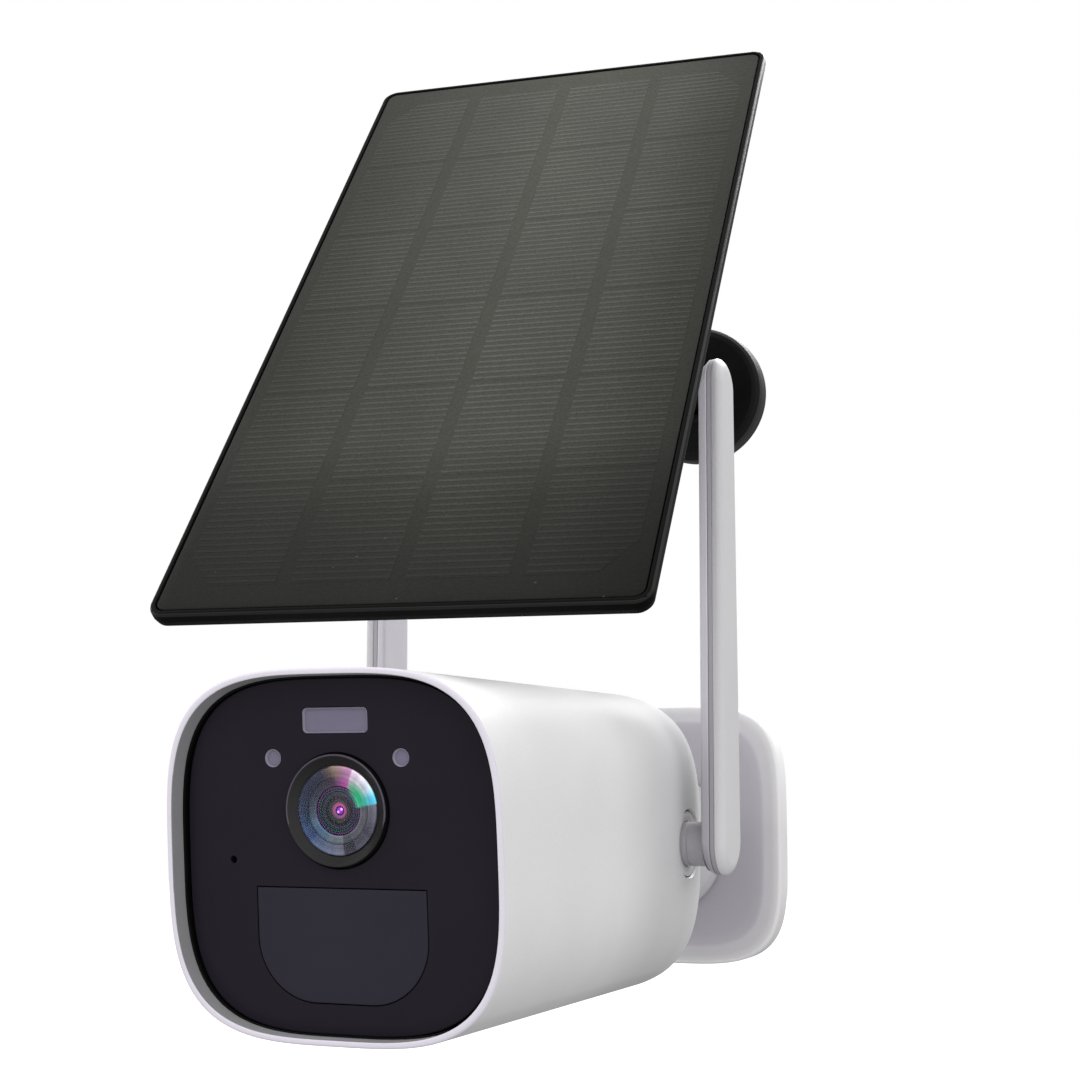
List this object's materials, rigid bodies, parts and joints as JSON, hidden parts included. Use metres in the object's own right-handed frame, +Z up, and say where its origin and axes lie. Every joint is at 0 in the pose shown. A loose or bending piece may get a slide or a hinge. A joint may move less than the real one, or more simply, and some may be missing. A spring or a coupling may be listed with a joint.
{
  "type": "solar security camera",
  "caption": "Wall-mounted security camera with two hinged bar antennas and a ball mount, under a tilted solar panel on its own ball-jointed wall arm.",
  "frame": {"origin": "on the back face of the camera wall bracket, level with the camera body axis", "axes": "+X to the right seen from the front, +Y into the wall, +Z up; the lens looks along -Y"},
  "size_m": [0.1226, 0.2138, 0.2517],
  "materials": {
    "white_shell": "satin moulded white plastic",
    "pale_plastic": "fine-grained pale lavender-grey plastic",
    "port_rubber": "soft pale rubber",
    "black_panel": "smooth near-black front plate",
    "seal_rubber": "black rubber",
    "lamp_window": "smoky translucent plastic",
    "sensor_film": "dark satin infrared-clear plastic",
    "lens_bezel": "dark satin ring",
    "lens_crystal": "coated glass",
    "dark_inner": "black moulded plastic",
    "board": "green circuit board",
    "lamp_board_white": "white lamp board",
    "steel": "zinc-plated steel",
    "ball_steel": "polished ball",
    "brass_insert": "plain brass",
    "cell_wrap": "shrink-wrapped round cell",
    "grey_ring": "knurled grey plastic",
    "solar_frame": "black grained plastic",
    "solar_face": "laminated cells under clear film",
    "solar_mount": "black moulded bracket"
  },
  "bodies": {
    "wall": {"wall_bracket": "steel", "wall_screw_1": "steel", "wall_screw_2": "steel", "wall_screw_3": "steel", "wall_screw_4": "steel", "wall_cover": "pale_plastic", "ball_socket": "pale_plastic", "disc_plate": "solar_mount", "disc_cover": "solar_mount", "disc_screw_1": "steel", "disc_screw_2": "steel", "disc_screw_3": "steel", "wall_arm": "solar_mount"},
    "lock_ring": {"lock_ring": "grey_ring"},
    "camera_ball": {"mount_ball": "ball_steel"},
    "camera": {"mount_stem": "pale_plastic", "rear_insert": "brass_insert", "body_shell": "white_shell", "port_bay": "dark_inner", "charging_inlet": "steel", "speaker": "dark_inner", "front_panel": "black_panel", "front_seal": "seal_rubber", "spot_window": "lamp_window", "ir_window_left": "lamp_window", "ir_window_right": "lamp_window", "sensor_window": "sensor_film", "lens_ring": "lens_bezel", "lens_glass": "lens_crystal", "lens_barrel": "dark_inner", "lens_inner": "lens_crystal", "image_chip": "board", "front_chassis": "dark_inner", "lamp_board": "lamp_board_white", "heat_sensor": "steel", "main_board": "board", "battery_cell_left": "cell_wrap", "battery_cell_right": "cell_wrap", "cell_cradle": "dark_inner", "hub_seat_left": "pale_plastic", "hub_seat_right": "pale_plastic"},
    "antenna_left": {"antenna_inner_left": "pale_plastic", "antenna_trim_left": "pale_plastic", "antenna_outer_left": "white_shell"},
    "antenna_right": {"antenna_inner_right": "pale_plastic", "antenna_trim_right": "pale_plastic", "antenna_outer_right": "white_shell"},
    "port_flap": {"port_flap": "port_rubber"},
    "power_button": {"power_button": "pale_plastic"},
    "reset_button": {"reset_button": "dark_inner"},
    "cup_ring": {"cup_ring": "solar_mount"},
    "clamp_knob": {"clamp_knob": "solar_mount"},
    "panel_ball": {"panel_ball": "ball_steel"},
    "panel": {"panel_stud": "solar_mount", "panel_insert": "brass_insert", "junction_box": "solar_frame", "cable_gland": "solar_mount", "panel_tray": "solar_frame", "panel_glass": "solar_face"}
  },
  "joints": [
    {"name": "lock_ring_turn", "type": "hinge", "parent": "wall", "child": "lock_ring", "pos_m": [0, -0.028, -0.003], "axis": [0, -1, 0], "continuous": true},
    {"name": "camera_pan", "type": "hinge", "parent": "wall", "child": "camera_ball", "pos_m": [0, -0.026, -0.003], "axis": [0, 0, 1], "range_deg": [-10, 10]},
    {"name": "camera_tilt", "type": "hinge", "parent": "camera_ball", "child": "camera", "pos_m": [0, -0.026, -0.003], "axis": [1, 0, 0], "range_deg": [-1, 20]},
    {"name": "antenna_left_swing", "type": "hinge", "parent": "camera", "child": "antenna_left", "pos_m": [0, -0.0943, -0.0005], "axis": [-1, 0, 0], "range_deg": [-14, 42]},
    {"name": "antenna_right_swing", "type": "hinge", "parent": "camera", "child": "antenna_right", "pos_m": [0, -0.0943, -0.0005], "axis": [-1, 0, 0], "range_deg": [-14, 42]},
    {"name": "port_flap_hinge", "type": "hinge", "parent": "camera", "child": "port_flap", "pos_m": [0, -0.0993, -0.03785], "axis": [1, 0, 0], "range_deg": [0, 100]},
    {"name": "power_button_press", "type": "slide", "parent": "camera", "child": "power_button", "axis": [0, 0, 1], "range_m": [0, 0.0008], "stiffness_N_per_m": 400},
    {"name": "reset_button_press", "type": "slide", "parent": "camera", "child": "reset_button", "axis": [0, 0, 1], "range_m": [0, 0.0004], "stiffness_N_per_m": 300},
    {"name": "cup_ring_turn", "type": "hinge", "parent": "wall", "child": "cup_ring", "pos_m": [0.00264, -0.11886, 0.11474], "axis": [0.0547, -0.6132, 0.788], "continuous": true},
    {"name": "clamp_knob_turn", "type": "hinge", "parent": "wall", "child": "clamp_knob", "pos_m": [0.00228, -0.11487, 0.10961], "axis": [0.996, 0.0889, 0], "continuous": true},
    {"name": "panel_pan", "type": "hinge", "parent": "wall", "child": "panel_ball", "pos_m": [0.00264, -0.11886, 0.11474], "axis": [0, 0, 1], "range_deg": [-8, 8]},
    {"name": "panel_tilt", "type": "hinge", "parent": "panel_ball", "child": "panel", "pos_m": [0.00264, -0.11886, 0.11474], "axis": [-0.996, -0.0889, 0], "range_deg": [-1.5, 30]}
  ]
}
